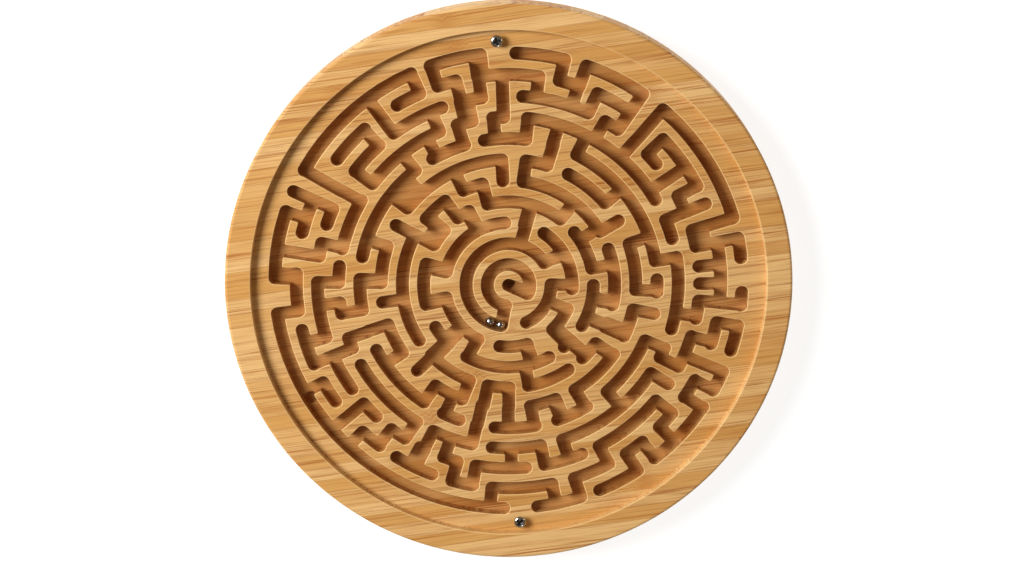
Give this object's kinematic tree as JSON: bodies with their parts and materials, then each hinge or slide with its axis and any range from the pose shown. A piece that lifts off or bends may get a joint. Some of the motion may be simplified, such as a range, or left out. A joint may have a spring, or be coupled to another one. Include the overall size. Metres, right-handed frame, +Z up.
{
  "type": "tilt maze game",
  "caption": "Round hand-held wooden tilt maze with ring channels, a clear screwed-on cover and steel balls that roll to a pocket at the centre.",
  "frame": {"origin": "centre of the board's flat underside", "axes": "+Z up out of the maze, square to the board; +Y towards the screw marked top; +X to the right when the maze is read from above"},
  "size_m": [0.28, 0.28, 0.02],
  "materials": {
    "bamboo": "satin, laminated strips with the grain running across the board",
    "clear_acrylic": "polished, clear",
    "screw_steel": "bright zinc plate",
    "ball_steel": "polished"
  },
  "bodies": {
    "board": {"maze_board": "bamboo", "clear_cover": "clear_acrylic", "screw_top": "screw_steel", "screw_bottom": "screw_steel"},
    "ball_1": {"ball_1": "ball_steel"},
    "ball_2": {"ball_2": "ball_steel"}
  },
  "joints": [
    {"name": "ball_1_roll", "type": "hinge", "parent": "board", "child": "ball_1", "pos_m": [0, 0, 0.01042], "axis": [0, 0, 1], "range_deg": [-209, 0]},
    {"name": "ball_2_roll", "type": "slide", "parent": "board", "child": "ball_2", "axis": [0.1668, 0.986, 0], "range_m": [0, 0.011]}
  ]
}
